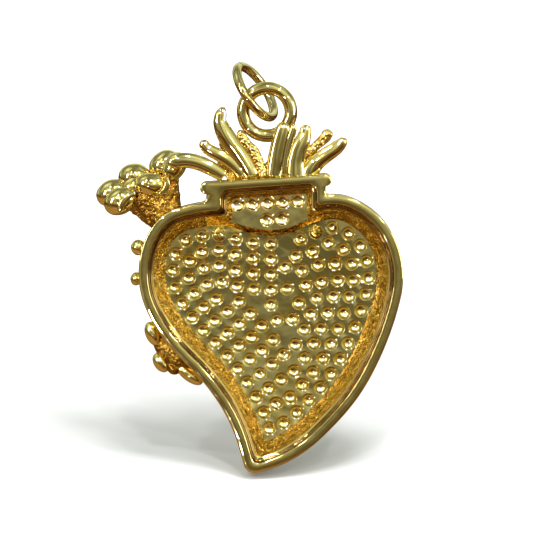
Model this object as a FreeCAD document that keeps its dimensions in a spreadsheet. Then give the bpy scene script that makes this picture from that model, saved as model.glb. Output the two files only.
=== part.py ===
"""Sacred heart pendant with an open back: a one-piece gilt casting and its loose jump ring.

The pendant hangs upright. The origin is the middle of the hanging loop, +Z is up and +X is to
the right of someone who looks at the open back, which faces -Y. The domed front faces +Y.
"""
import FreeCAD, Part
import math
import os
from FreeCAD import Placement, Rotation, Vector

NODE_FOLDER = "parts"
TINY = 1e-9

# Driving dimensions in millimetres, or degrees where the name says so
SIZES = (
    # The hanging loop, cast with the heart
    ("loop_radius", 2.2),
    ("loop_wire_radius", 0.55),
    # The loose jump ring
    ("ring_radius", 2.8),
    ("ring_wire_radius", 0.45),
    ("ring_gap", 0.12),
    ("ring_clearance", 0.08),
    ("ring_place_angle", 135.0),
    ("ring_lean_angle", 56.1),
    ("ring_turn_angle", 18.7),
    # The heart's outline and depth
    ("heart_width", 25.0),
    ("heart_height", 26.7),
    ("heart_drop", 7.8),
    ("heart_shift", 0.33),
    ("tip_radius", 1.1),
    ("back_depth", 1.6),
    ("front_rise", 3.0),
    ("dome_radius", 36.0),
    ("edge_slope_width", 1.5),
    ("edge_slope_height", 2.2),
    # The rim seen from the back, and the hollow inside it
    ("rim_band", 0.85),
    ("ledge_width", 0.5),
    ("ledge_step", 0.35),
    ("pan_depth", 2.6),
    ("wall_draft_angle", 27.0),
    ("pan_tip_radius", 0.4),
    # The round pits in the floor of the hollow
    ("pit_radius", 0.66),
    ("pit_depth", 0.42),
    ("pit_pitch", 1.58),
    ("pit_row_step", 1.45),
    ("pit_margin", 0.1),
    # The collar above the heart and its shallower pocket
    ("collar_width", 11.3),
    ("collar_drop", 6.8),
    ("collar_shift", -0.12),
    ("collar_tilt_angle", 3.9),
    ("collar_end_radius", 0.58),
    ("collar_front", 1.3),
    ("collar_lip", 0.78),
    ("collar_left_side", 1.35),
    ("collar_right_side", 0.8),
    ("pocket_corner_radius", 0.9),
    ("pocket_depth", 1.4),
    # The flames on the collar
    ("flame_back", 0.5),
    ("flame_width", 1.9),
    ("flame_web", 0.5),
    # The blossom, beads and buds on the left of the front
    ("petal_radius", 1.32),
    ("calyx_root_radius", 1.0),
    ("calyx_mouth_radius", 2.7),
    ("bead_radius", 0.62),
)

# The heart's outline, counter-clockwise from the left lobe: share of the half width from the
# heart's middle line, share of the height below the lobes, and heading in degrees. The headings
# were drawn on a heart with the proportion of height to width below
HEART_STATIONS = (
    (-0.467, 0.025, 185.0),
    (-0.901, 0.117, 236.0),
    (-0.999, 0.292, 272.0),
    (-0.810, 0.512, 307.0),
    (-0.513, 0.665, 310.0),
    (-0.300, 0.822, 294.0),
    "tip",
    (0.164, 0.943, 29.0),
    (0.551, 0.786, 48.0),
    (0.920, 0.476, 71.0),
    (1.000, 0.252, 97.0),
    (0.766, 0.051, 143.0),
    (0.438, 0.000, 185.0),
    (0.004, 0.058, 180.0),
)
TIP_PLACE = (-0.181, 1.0)
TIP_HEADINGS = (285.0, 15.0)
DRAWN_ASPECT = 26.7 / 25.0

# Shares of the heart's height where the dome is highest and where the collar's neck and pocket end
HEART_MIDDLE = 0.46
NECK_FOOT = 0.11
POCKET_FOOT = 0.165

# Rows of pits in the pocket: how many, share of the pit pitch below the collar's axis, and share
# of the pitch to the right of the collar's middle
POCKET_ROWS = ((5, 1.15, 0.05), (2, 2.15, 0.43))
CLOSEST_PITS = 0.91
PIT_SIDES = 8
PIT_LEAD_SHARE = 0.125

# Flats round the wire of the loop and of the jump ring
WIRE_SIDES = 12
# Latitudes of the rings and the number of flats in each small rounded form
KNOB_LATITUDES = (-50.0, 0.0, 50.0)
PETAL_SIDES = 12
BEAD_SIDES = 10
# Corners of a flame's section, flat at the back: half-width share and depth share of its width
FLAME_SECTION = ((-0.50, 0.00), (-0.42, 0.30), (-0.16, 0.50), (0.16, 0.50), (0.42, 0.30),
                 (0.50, 0.00), (0.22, -0.08), (-0.22, -0.08))

# Each flame from its root in the collar to its tip: share of the collar's half width, share of
# the height from the collar's axis to the middle of the loop, and share of the flame width
FLAMES = {
    "curled_flame": ((-0.49, -0.01, 0.55), (-0.74, 0.36, 0.53), (-0.97, 0.50, 0.52),
                     (-1.10, 0.59, 0.42), (-1.06, 0.66, 0.22)),
    "short_flame": ((-0.40, 0.05, 0.45), (-0.62, 0.38, 0.42), (-0.76, 0.56, 0.34),
                    (-0.77, 0.60, 0.18)),
    "tall_flame": ((-0.22, -0.01, 0.95), (-0.47, 0.40, 1.00), (-0.70, 0.68, 0.85),
                   (-0.81, 0.89, 0.62), (-0.76, 1.01, 0.40), (-0.66, 1.06, 0.18)),
    "left_loop_flame": ((-0.03, -0.01, 0.60), (-0.17, 0.38, 0.58), (-0.32, 0.60, 0.54),
                        (-0.41, 0.74, 0.46), (-0.385, 0.83, 0.30)),
    "middle_flame": ((0.13, -0.01, 0.80), (0.14, 0.40, 0.80), (0.20, 0.63, 0.78),
                     (0.31, 0.79, 0.55), (0.35, 0.84, 0.30)),
    "right_loop_flame": ((0.34, -0.01, 0.48), (0.375, 0.40, 0.48), (0.45, 0.64, 0.48),
                         (0.45, 0.88, 0.46)),
    "plain_flame": ((0.50, -0.01, 1.00), (0.58, 0.36, 0.95), (0.67, 0.58, 0.75),
                    (0.66, 0.75, 0.50), (0.64, 0.80, 0.22)),
    "thin_flame": ((0.60, 0.05, 0.50), (0.81, 0.47, 0.48), (0.98, 0.63, 0.48),
                   (1.055, 0.76, 0.44), (1.07, 0.80, 0.22)),
    "end_flame": ((0.70, -0.01, 0.85), (0.92, 0.28, 0.88), (1.15, 0.44, 0.72),
                  (1.26, 0.57, 0.50), (1.27, 0.63, 0.24)),
}
# The rough web that fills the gaps between the flames, in the same shares
FLAME_WEB = ((-0.60, 0.00), (0.75, 0.00), (0.88, 0.16), (0.95, 0.33), (0.85, 0.47), (0.68, 0.47),
             (0.53, 0.57), (0.34, 0.47), (0.11, 0.33), (-0.03, 0.30), (-0.23, 0.47),
             (-0.43, 0.72), (-0.73, 0.47), (-0.85, 0.26))
# The flame that reaches over the left lobe to the blossom: its root in the same shares, then
# share of its reach, rise above the straight line as a share of the reach, and width share
BRIDGE_ROOT = (-0.51, -0.01)
BRIDGE_CURVE = ((0.0, 0.0, 0.60), (0.19, 0.095, 0.62), (0.46, 0.13, 0.66), (0.77, 0.115, 0.66),
                (1.0, 0.02, 0.55))
BRIDGE_PETAL = 2

# Petals of the blossom, the beads beside the rim and the buds: share of the heart's half width,
# depth towards the front in millimetres, share of the heart's height, and size share
PETALS = (
    (-1.165, 0.55, 0.028, 1.00),
    (-0.885, 0.40, -0.030, 1.00),
    (-0.725, 0.50, -0.100, 0.95),
    (-1.255, 2.20, 0.010, 0.95),
    (-1.035, 2.90, -0.068, 1.02),
    (-0.800, 2.30, -0.114, 0.98),
    (-0.960, 3.60, -0.010, 0.95),
    (-1.030, 1.70, -0.035, 1.15),
)
CALYX_ROOT = (-0.775, 0.70, 0.120)
CALYX_MOUTH = (-0.930, 1.30, 0.015)
BEADS = (
    (-1.000, 0.10, 0.190, 1.22),
    (-1.020, 0.10, 0.302, 1.05),
)
# The last number is the lean to the left of upright in degrees; the first two buds lie on a bed
BUDS = (
    (-0.880, 0.10, 0.500, 1.15, 22.0),
    (-0.845, 0.00, 0.602, 1.05, 30.0),
    (-0.745, 0.10, 0.618, 1.00, 45.0),
    (-0.650, 0.00, 0.648, 1.05, 52.0),
)
BUD_BED = (-0.750, 0.20, 0.575, 1.70, 48.0)
BUD_LENGTH_SHARE = 1.6

doc = FreeCAD.newDocument("heart_pendant")


def make_sheet():
    """The sheet of driving dimensions, one alias to a cell."""
    sheet = doc.addObject("Spreadsheet::Sheet", "Sizes")
    for row, (alias, value) in enumerate(SIZES, start=1):
        sheet.set(f"A{row}", alias)
        sheet.set(f"B{row}", str(value))
        sheet.setAlias(f"B{row}", alias)
    doc.recompute()
    return sheet


sheet = make_sheet()


def size(alias):
    """A driving dimension as a number."""
    return float(sheet.get(alias))


def bind(item, **expressions):
    """Tie properties of a feature to cells of the sheet."""
    for name, text in expressions.items():
        item.setExpression(name.replace("__", "."), text)
    return item


def add_shape(name, shape):
    """A feature whose shape is worked out from the sheet's values."""
    feature = doc.addObject("Part::Feature", name)
    feature.Shape = shape.Solids[0] if len(shape.Solids) == 1 else shape
    return feature


def direction(angle):
    """A unit vector in the XZ plane."""
    return Vector(math.cos(math.radians(angle)), 0, math.sin(math.radians(angle)))


def left_of(heading):
    """The unit vector to the left of a heading in the XZ plane, seen from the back."""
    return Vector(-heading.z, 0, heading.x)


def heart_place(x_share, z_share, level=0.0):
    """A point given in shares of the heart's half width and height."""
    return Vector(size("heart_shift") + x_share * size("heart_width") / 2, level,
                  -size("heart_drop") - z_share * size("heart_height"))


def heart_heading(angle):
    """A heading of the outline, stretched with the heart's proportions."""
    stretch = size("heart_height") / size("heart_width") / DRAWN_ASPECT
    drawn = direction(angle)
    return Vector(drawn.x, 0, drawn.z * stretch).normalize()


def arc_from(start, heading, end):
    """The arc that leaves start along heading and ends at end."""
    chord = end - start
    turn = math.atan2(heading.x * chord.z - heading.z * chord.x, heading.dot(chord))
    if abs(turn) < 1e-5:
        return Part.LineSegment(start, end).toShape()
    middle = (start + end) * 0.5 + left_of(chord) * (-0.5 * math.tan(turn / 2))
    return Part.Arc(start, middle, end).toShape()


def span_arcs(start, heading, end, end_heading):
    """Two arcs that join one station of an outline to the next without a kink."""
    gap = end - start
    reach = gap.dot(heading + end_heading)
    spread = 2 * (1 - heading.dot(end_heading))
    if spread < TINY:
        length = gap.dot(gap) / (2 * reach)
    else:
        length = (math.sqrt(reach * reach + spread * gap.dot(gap)) - reach) / spread
    joint = (start + end + (heading - end_heading) * length) * 0.5
    return [arc_from(start, heading, joint), arc_from(end, end_heading * -1, joint)]


def tip_stations(inset, level, radius):
    """Where the rounding of the heart's tip starts and ends."""
    arriving, leaving = (heart_heading(angle) for angle in TIP_HEADINGS)
    inward, inward_after = left_of(arriving), left_of(leaving)
    shift = (inward + inward_after) * (inset / (1 + inward.dot(inward_after)))
    apex = heart_place(*TIP_PLACE, level) + shift
    back_off = radius * math.tan(arriving.getAngle(leaving) / 2)
    return [(apex - arriving * back_off, arriving), (apex + leaving * back_off, leaving)]


def heart_outline(inset, level, radius):
    """The heart's outline as one wire, moved inwards by inset, at a depth Y of level."""
    stations = []
    for station in HEART_STATIONS:
        if station == "tip":
            stations += tip_stations(inset, level, radius)
            continue
        heading = heart_heading(station[2])
        point = heart_place(station[0], station[1], level) + left_of(heading) * inset
        stations.append((point, heading))
    edges = []
    for here, after in zip(stations, stations[1:] + stations[:1]):
        edges += span_arcs(here[0], here[1], after[0], after[1])
    return Part.Wire(Part.__sortEdges__(edges))


def loft_between(lower, upper):
    """A solid with straight walls between two matching outlines."""
    return Part.makeLoft([lower, upper], True, True)


def rounded_polygon(points, radii):
    """A closed wire through points in the XZ plane with its corners rounded."""
    edges = []
    ends = []
    count = len(points)
    for index, point in enumerate(points):
        before = (points[index - 1] - point).normalize()
        after = (points[(index + 1) % count] - point).normalize()
        half = before.getAngle(after) / 2
        back_off = radii[index] / math.tan(half)
        middle = point + (before + after).normalize() * (radii[index] / math.sin(half) - radii[index])
        ends.append((point + before * back_off, middle, point + after * back_off))
    for index, (start, middle, end) in enumerate(ends):
        if radii[index] > TINY:
            edges.append(Part.Arc(start, middle, end).toShape())
        edges.append(Part.LineSegment(end, ends[(index + 1) % count][0]).toShape())
    return Part.Wire(edges)


def extrude_y(wire, depth):
    """A flat outline made solid towards the front."""
    return Part.Face(wire).extrude(Vector(0, depth, 0))


back_level = -size("back_depth")
heart_middle = heart_place(0.0, HEART_MIDDLE)


def flat_sided(rings, low, high):
    """A solid of flat faces through rings of corners, closed at a point at either end."""
    count = len(rings[0])
    faces = []
    for side in range(count):
        after = (side + 1) % count
        faces.append([low, rings[0][after], rings[0][side]])
        faces.append([high, rings[-1][side], rings[-1][after]])
        for lower, upper in zip(rings, rings[1:]):
            faces.append([lower[side], lower[after], upper[after], upper[side]])
    shell = Part.makeShell([Part.Face(Part.makePolygon(face + face[:1])) for face in faces])
    return Part.makeSolid(shell)


def knob(name, centre, radius, length, lean, sides):
    """A small rounded form, longest along an axis that leans from upright to the left."""
    axis = direction(90 + lean)
    across = left_of(axis)
    rings = []
    for latitude in KNOB_LATITUDES:
        middle = centre + axis * (math.sin(math.radians(latitude)) * length)
        reach = math.cos(math.radians(latitude)) * radius
        corners = []
        for side in range(sides):
            turn = 2 * math.pi * side / sides
            corners.append(middle + across * (math.cos(turn) * reach)
                           + Vector(0, math.sin(turn) * reach, 0))
        rings.append(corners)
    return add_shape(name, flat_sided(rings, centre - axis * length, centre + axis * length))


def make_shell():
    """The heart's body: straight sides with a rolled front edge under a shallow dome."""
    top = size("front_rise")
    side_top = top - size("edge_slope_height")
    tip = size("tip_radius")
    cap = loft_between(heart_outline(0, side_top, tip),
                       heart_outline(size("edge_slope_width"), top, tip))
    sides = extrude_y(heart_outline(0, back_level, tip), side_top - back_level)
    dome = doc.addObject("Part::Sphere", "front_dome")
    bind(dome, Radius="Sizes.dome_radius")
    dome.Placement = Placement(Vector(heart_middle.x, 0, heart_middle.z), Rotation())
    bind(dome, Placement__Base__y="Sizes.front_rise - Sizes.dome_radius")
    doc.recompute()
    return add_shape("heart_shell", sides.fuse(cap).common(dome.Shape))


def collar_axis():
    """The two ends of the collar's rounded lip, and the directions along and across it."""
    along = direction(size("collar_tilt_angle"))
    middle = Vector(size("collar_shift"), back_level, -size("collar_drop"))
    half = along * (size("collar_width") / 2)
    return middle - half, middle + half, along, left_of(along)


def make_collar():
    """The collar: a bar with round ends, and the neck that joins it to both lobes."""
    left, right, along, up = collar_axis()
    radius = size("collar_end_radius")
    bar = Part.Wire([
        Part.LineSegment(left - up * radius, right - up * radius).toShape(),
        Part.Arc(right - up * radius, right + along * radius, right + up * radius).toShape(),
        Part.LineSegment(right + up * radius, left + up * radius).toShape(),
        Part.Arc(left + up * radius, left - along * radius, left - up * radius).toShape(),
    ])
    foot = heart_place(0.0, NECK_FOOT, back_level).z
    neck = Part.makePolygon([left, Vector(left.x, back_level, foot),
                             Vector(right.x, back_level, foot), right, left])
    depth = size("back_depth") + size("collar_front")
    return add_shape("collar", extrude_y(bar, depth).fuse(extrude_y(neck, depth)))


def pocket_wire(inset, level):
    """The outline of the collar's recess, open towards the heart's hollow."""
    left, right, along, up = collar_axis()
    top = up * (size("collar_end_radius") - size("collar_lip") - inset)
    first = left + along * (size("collar_left_side") + inset) + top
    last = right - along * (size("collar_right_side") + inset) + top
    floor = heart_place(0.0, POCKET_FOOT, level).z
    corners = [Vector(first.x, level, first.z), Vector(first.x + inset, level, floor),
               Vector(last.x - inset, level, floor), Vector(last.x, level, last.z)]
    radius = size("pocket_corner_radius")
    return rounded_polygon(corners, [radius, 0, 0, radius])


def collar_place(x_share, z_share, level=0.0):
    """A point in shares of the collar's half width and of its height below the loop."""
    return Vector(size("collar_shift") + x_share * size("collar_width") / 2, level,
                  (z_share - 1) * size("collar_drop"))


def flame_section(point, heading, width):
    """One cross section of a flame: nearly flat at the back and round towards the front."""
    side = left_of(heading)
    corners = [point + side * (across * width) + Vector(0, depth * width, 0)
               for across, depth in FLAME_SECTION]
    return Part.makePolygon(corners + corners[:1])


def flame_solid(spine):
    """A flame through a list of places and width shares, from its root to its tip."""
    sections = []
    for index, (point, share) in enumerate(spine):
        before = spine[max(index - 1, 0)][0]
        after = spine[min(index + 1, len(spine) - 1)][0]
        width = share * size("flame_width")
        sections.append(flame_section(point, (after - before).normalize(), width))
    return Part.makeLoft(sections, True, False)


def bridge_spine():
    """The curve of the flame that springs from the collar's left end to its petal."""
    level = -size("flame_back")
    root = collar_place(*BRIDGE_ROOT, level)
    x_share, depth, z_share, share = PETALS[BRIDGE_PETAL]
    reach = heart_place(x_share, z_share, level) - root
    return [(root + reach * along - left_of(reach) * rise, width)
            for along, rise, width in BRIDGE_CURVE]


def make_web():
    """The thin rough web between the flames, set in from their backs."""
    web = Part.makePolygon([collar_place(x, z, -size("flame_web") / 2)
                            for x, z in FLAME_WEB + FLAME_WEB[:1]])
    return add_shape("flame_web", extrude_y(web, size("flame_web")))


def make_flames():
    """The tongues of fire that stand on the collar, and the one that bridges to the blossom."""
    level = -size("flame_back")
    flames = [add_shape("bridge_flame", flame_solid(bridge_spine()))]
    for name, stations in FLAMES.items():
        spine = [(collar_place(x, z, level), share) for x, z, share in stations]
        flames.append(add_shape(name, flame_solid(spine)))
    return flames


def wire_ring(name, radius_alias, wire_alias, angle):
    """A round of wire about its own Z axis, its section turned from +X by angle degrees."""
    section = doc.addObject("Part::RegularPolygon", name + "_section")
    section.Polygon = WIRE_SIDES
    section.Placement = Placement(Vector(size(radius_alias), 0, 0), Rotation(Vector(1, 0, 0), 90))
    bind(section, Circumradius="Sizes." + wire_alias, Placement__Base__x="Sizes." + radius_alias)
    ring = doc.addObject("Part::Revolution", name)
    ring.Source = section
    ring.Axis = Vector(0, 0, 1)
    ring.Solid = True
    return bind(ring, Angle=angle)


def make_loop():
    """The hanging loop above the flames."""
    loop = wire_ring("hanging_loop", "loop_radius", "loop_wire_radius", "360")
    loop.Placement = Placement(Vector(), Rotation(Vector(1, 0, 0), 90))
    return loop


def make_blossom():
    """The blossom's petals and the rough cone that carries them from the rim."""
    pieces = []
    for number, (x_share, level, z_share, share) in enumerate(PETALS, start=1):
        radius = size("petal_radius") * share
        pieces.append(knob(f"petal_{number}", heart_place(x_share, z_share, level), radius,
                           radius, 0, PETAL_SIDES))
    root = heart_place(CALYX_ROOT[0], CALYX_ROOT[2], CALYX_ROOT[1])
    mouth = heart_place(CALYX_MOUTH[0], CALYX_MOUTH[2], CALYX_MOUTH[1])
    calyx = doc.addObject("Part::Cone", "calyx")
    calyx.Placement = Placement(root, Rotation(Vector(0, 0, 1), mouth - root))
    calyx.Height = (mouth - root).Length
    bind(calyx, Radius1="Sizes.calyx_root_radius", Radius2="Sizes.calyx_mouth_radius")
    pieces.append(calyx)
    return pieces


def make_beads_and_buds():
    """The two beads and the cluster of buds that show past the left of the rim."""
    pieces = []
    for number, (x_share, level, z_share, share) in enumerate(BEADS, start=1):
        radius = size("bead_radius") * share
        pieces.append(knob(f"bead_{number}", heart_place(x_share, z_share, level), radius,
                           radius, 0, BEAD_SIDES))
    for number, (x_share, level, z_share, share, lean) in enumerate(BUDS + (BUD_BED,), start=1):
        radius = size("bead_radius") * share
        pieces.append(knob(f"bud_{number}", heart_place(x_share, z_share, level), radius,
                           radius * BUD_LENGTH_SHARE, lean, BEAD_SIDES))
    return pieces


def wall_slope():
    """How far the hollow's wall leans inwards for each millimetre of depth."""
    return math.tan(math.radians(size("wall_draft_angle")))


def pan_foot():
    """How far the foot of the hollow's wall lies inside the heart's outline."""
    wall = size("pan_depth") - size("ledge_step")
    return size("rim_band") + size("ledge_width") + wall * wall_slope()


def make_pan_tool():
    """What is taken out behind the heart: the ledge, and the hollow with its sloping wall."""
    edge = size("rim_band") + size("ledge_width")
    step = size("ledge_step") / 2
    tip = size("pan_tip_radius")
    top = heart_outline(edge - step * wall_slope(), back_level + step, tip)
    bottom = heart_outline(pan_foot(), back_level + size("pan_depth"), tip)
    ledge = extrude_y(heart_outline(size("rim_band"), back_level - 1, tip), 1 + size("ledge_step"))
    return [add_shape("pan_hollow", loft_between(top, bottom)), add_shape("pan_ledge", ledge)]


def make_pocket_tool():
    """What is taken out behind the collar: its ledge and its shallower pocket."""
    ledge = extrude_y(pocket_wire(0, back_level - 1), 1 + size("ledge_step"))
    step = size("ledge_step") / 2
    lean = wall_slope() / 2
    top = pocket_wire(size("ledge_width") - step * lean, back_level + step)
    bottom = pocket_wire(size("ledge_width") + (size("pocket_depth") - 2 * step) * lean,
                         back_level + size("pocket_depth"))
    return [add_shape("pocket_ledge", ledge), add_shape("pocket_hollow", loft_between(top, bottom))]


def offset_points(face, inset, pitch):
    """Evenly spaced points round a face's outline moved inwards by inset."""
    points = []
    for wire in face.makeOffset2D(-inset).Wires:
        count = max(int(round(wire.Length / pitch)), 1)
        points += wire.discretize(Number=count + 1)[:-1]
    return points


def pan_reach(face):
    """How far the middle line of the heart lies from its outline at most."""
    level = face.BoundBox.YMin
    places = [heart_place(0, step / 20, level) for step in range(4, 17)]
    return max(face.OuterWire.distToShape(Part.Vertex(place))[0] for place in places)


def pan_pit_centres():
    """Places of the pits in the pan, in rows that follow the heart's outline inwards."""
    inset = pan_foot() + size("pit_radius") + size("pit_margin")
    pitch = size("pit_pitch")
    heart = Part.Face(heart_outline(0, back_level + size("pan_depth"), size("tip_radius")))
    reach = pan_reach(heart)
    centres = []
    while inset < reach:
        for point in offset_points(heart, inset, pitch):
            if all((point - other).Length > CLOSEST_PITS * pitch for other in centres):
                centres.append(point)
        inset += size("pit_row_step")
    return centres


def pit_cutter(mouth):
    """One pit: a round hollow point in many flats, from a little above the floor."""
    depth = size("pit_depth")
    lead = depth * PIT_LEAD_SHARE
    radius = size("pit_radius") * (1 + lead / depth)
    above = mouth - Vector(0, lead, 0)
    corners = [above + direction(360 * side / PIT_SIDES) * radius for side in range(PIT_SIDES)]
    return flat_sided([corners], above, mouth + Vector(0, depth, 0))


def make_pits():
    """The pits of the pan and those of the pocket, as one set of cutters."""
    cutters = [pit_cutter(place) for place in pan_pit_centres()]
    left, right, along, up = collar_axis()
    middle = (left + right) * 0.5 + Vector(0, size("pocket_depth"), 0)
    pitch = size("pit_pitch")
    for count, drop, shift in POCKET_ROWS:
        for number in range(count):
            step = shift + number - (count - 1) / 2
            cutters.append(pit_cutter(middle + along * (step * pitch * CLOSEST_PITS)
                                      - up * (drop * pitch)))
    print("pits", len(cutters))
    return add_shape("pits", Part.makeCompound(cutters))


def make_casting():
    """The whole casting: all raised forms joined, then the hollows and pits taken out."""
    joined = doc.addObject("Part::MultiFuse", "casting_blank")
    joined.Shapes = ([make_shell(), make_collar(), make_loop(), make_web()] + make_flames()
                     + make_blossom() + make_beads_and_buds())
    hollows = doc.addObject("Part::MultiFuse", "hollows")
    hollows.Shapes = make_pan_tool() + make_pocket_tool()
    hollowed = doc.addObject("Part::Cut", "hollowed_casting")
    hollowed.Base = joined
    hollowed.Tool = hollows
    casting = doc.addObject("Part::Cut", "heart_casting")
    casting.Base = hollowed
    casting.Tool = make_pits()
    casting.Label = "heart_casting"
    return casting


def make_jump_ring():
    """The round-wire jump ring, hooked through the loop and leaning as it lies."""
    lean = direction(-size("ring_lean_angle"))
    turn = math.radians(size("ring_turn_angle"))
    towards_back = Vector(0, -math.cos(turn), 0) - left_of(lean) * math.sin(turn)
    across = lean.cross(towards_back)
    outward = direction(size("ring_place_angle"))
    held_at = outward * size("loop_radius")
    wires = size("ring_wire_radius") + size("loop_wire_radius") + size("ring_clearance")
    hang = size("ring_radius") - wires / towards_back.cross(left_of(outward)).Length
    ring = wire_ring("jump_ring", "ring_radius", "ring_wire_radius",
                     "360 - Sizes.ring_gap / Sizes.ring_radius * 180 / pi")
    turned = Rotation(lean * -1, across.cross(lean * -1), across, "ZXY")
    ring.Placement = Placement(held_at - towards_back * hang, turned)
    ring.Label = "jump_ring"
    return ring


def check_document():
    """Stop on any feature that failed."""
    for item in doc.Objects:
        if "Invalid" in item.State or "Error" in item.State:
            raise RuntimeError(f"{item.Name} failed: {item.State}")


def main():
    """Build both pieces, check them and write one file to each."""
    pieces = [make_casting(), make_jump_ring()]
    doc.recompute()
    check_document()
    os.makedirs(NODE_FOLDER, exist_ok=True)
    for piece in pieces:
        shape = piece.Shape
        if shape.isNull() or not shape.isValid() or not shape.Solids:
            raise RuntimeError(f"{piece.Label} has no valid solid")
        print(piece.Label, "solids", len(shape.Solids), "volume", round(shape.Volume, 2),
              "box", shape.BoundBox)
    for piece in pieces:
        piece.Shape.exportStep(os.path.join(NODE_FOLDER, piece.Label + ".step"))


main()
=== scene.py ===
"""Gilt heart pendant with an open, pitted back: its looks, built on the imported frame.

Sizes are in millimetres in the pendant's own frame. The origin is the middle of the hanging loop,
+Z is up, +X is to the right of someone who looks at the open back, and the back faces -Y.
"""
from __future__ import annotations

import logging
import math
from dataclasses import dataclass, field
from enum import Enum
from functools import cached_property
from typing import Callable

import bmesh
import bpy
from mathutils import Matrix, Vector, noise

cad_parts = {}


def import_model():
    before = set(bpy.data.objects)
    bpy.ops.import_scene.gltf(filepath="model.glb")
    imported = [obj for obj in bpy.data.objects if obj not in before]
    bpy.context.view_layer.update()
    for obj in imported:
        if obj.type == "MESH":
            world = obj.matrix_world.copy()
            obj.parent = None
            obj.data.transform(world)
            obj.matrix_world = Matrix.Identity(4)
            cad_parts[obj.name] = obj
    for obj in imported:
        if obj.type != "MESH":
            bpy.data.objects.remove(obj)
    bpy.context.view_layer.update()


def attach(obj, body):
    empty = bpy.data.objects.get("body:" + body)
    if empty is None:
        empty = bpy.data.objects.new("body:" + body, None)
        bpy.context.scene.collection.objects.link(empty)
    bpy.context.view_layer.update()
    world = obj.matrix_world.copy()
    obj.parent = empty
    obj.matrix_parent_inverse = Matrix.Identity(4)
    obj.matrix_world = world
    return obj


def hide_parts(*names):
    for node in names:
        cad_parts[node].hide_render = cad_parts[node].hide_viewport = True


MM = 0.001
TINY = 1e-9
NO_TURN = 1e-5
CURVE_STEPS = 12
FLAT_WEIGHT = 80
TO_BACK = Vector((0, -1, 0))
TO_FRONT = Vector((0, 1, 0))
LOG = logging.getLogger("pendant")
Ring = list[Vector]
Socket = bpy.types.NodeSocket


def flat(x: float, z: float) -> Vector:
    """A point of a drawing in the pendant's XZ plane."""
    return Vector((x, z))


def heading(angle: float) -> Vector:
    """The unit vector at an angle in degrees, in the drawing plane."""
    return Vector((math.cos(math.radians(angle)), math.sin(math.radians(angle))))


def left_of(way: Vector) -> Vector:
    """The vector to the left of another, in the drawing plane."""
    return Vector((-way.y, way.x))


def turned(way: Vector, angle: float) -> Vector:
    """A drawing vector turned by an angle in radians."""
    cos, sin = math.cos(angle), math.sin(angle)
    return Vector((way.x * cos - way.y * sin, way.x * sin + way.y * cos))


def turn_between(way: Vector, chord: Vector) -> float:
    """The angle from one drawing vector to another, positive to the left."""
    return math.atan2(way.x * chord.y - way.y * chord.x, way.dot(chord))


def between(first: float, last: float, share: float) -> float:
    """The number at a share of the way from one to another."""
    return first + (last - first) * share


def shares(steps: int) -> list[float]:
    """Evenly spaced shares from 0 to 1, both among them."""
    return [step / steps for step in range(steps + 1)]


def angles(count: int) -> list[float]:
    """Evenly spaced angles of one turn, in radians."""
    return [2 * math.pi * step / count for step in range(count)]


def middle_of(ring: Ring) -> Vector:
    """The mean of a ring's points in three dimensions."""
    return sum(ring, Vector()) / len(ring)


def stand(ring: Ring, level: float | Callable[[Vector], float]) -> Ring:
    """Lifts a drawing into the pendant's frame at a depth.

    Args:
        ring: Points of the drawing.
        level: The depth Y of all of them, or a function that gives it for each.

    Returns:
        The points in three dimensions.
    """
    depth = level if callable(level) else (lambda point: level)
    return [Vector((p.x, depth(p), p.y)) for p in ring]


def resampled(points: Ring, count: int) -> Ring:
    """Evenly spaced points along an open line, both ends among them."""
    lengths = [0.0]
    for here, after in zip(points, points[1:]):
        lengths.append(lengths[-1] + (after - here).length)
    result, index = [], 0
    for number in range(count):
        target = lengths[-1] * number / (count - 1)
        while index < len(points) - 2 and lengths[index + 1] < target:
            index += 1
        gap = max(lengths[index + 1] - lengths[index], TINY)
        result.append(points[index].lerp(points[index + 1], (target - lengths[index]) / gap))
    return result


def trimmed(points: Ring, length: float) -> Ring:
    """A line with a length cut off its start."""
    for index, (here, after) in enumerate(zip(points, points[1:])):
        step = (after - here).length
        if step > length:
            return [here.lerp(after, length / step)] + points[index + 1:]
        length -= step
    raise ValueError("the line is shorter than what is cut off")


def inside(point: Vector, corners: Ring) -> bool:
    """Whether a point of the drawing lies inside a polygon."""
    within = False
    for a, b in zip(corners, corners[1:] + corners[:1]):
        if (a.y > point.y) != (b.y > point.y):
            if point.x < a.x + (b.x - a.x) * (point.y - a.y) / (b.y - a.y):
                within = not within
    return within


def smooth_line(points: Ring, count: int) -> Ring:
    """A smooth curve through points, evenly sampled."""
    ends = [points[0] * 2 - points[1]] + points + [points[-1] * 2 - points[-2]]
    line = []
    for index in range(1, len(ends) - 2):
        a, b, c, d = ends[index - 1: index + 3]
        for step in range(CURVE_STEPS):
            t = step / CURVE_STEPS
            line.append(0.5 * ((2 * b) + (c - a) * t + (2 * a - 5 * b + 4 * c - d) * t * t
                               + (3 * b - a - 3 * c + d) * t ** 3))
    line.append(points[-1].copy())
    return resampled(line, count)


def select_none() -> None:
    """Deselects every object and leaves edit mode."""
    if bpy.context.object and bpy.context.object.mode != "OBJECT":
        bpy.ops.object.mode_set(mode="OBJECT")
    bpy.ops.object.select_all(action="DESELECT")


def select_only(piece: bpy.types.Object) -> None:
    """Selects one piece and makes it the active one."""
    select_none()
    bpy.context.view_layer.objects.active = piece
    piece.select_set(True)


def added(name: str) -> bpy.types.Object:
    """The primitive that was just added, under its piece's name."""
    piece = bpy.context.object
    piece.name = name
    return piece


def start_outline(name: str, count: int) -> bpy.types.Object:
    """A piece that starts as a small circle of points, in edit mode."""
    select_none()
    bpy.ops.mesh.primitive_circle_add(vertices=count, radius=MM)
    piece = added(name)
    bpy.ops.object.mode_set(mode="EDIT")
    return piece


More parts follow.
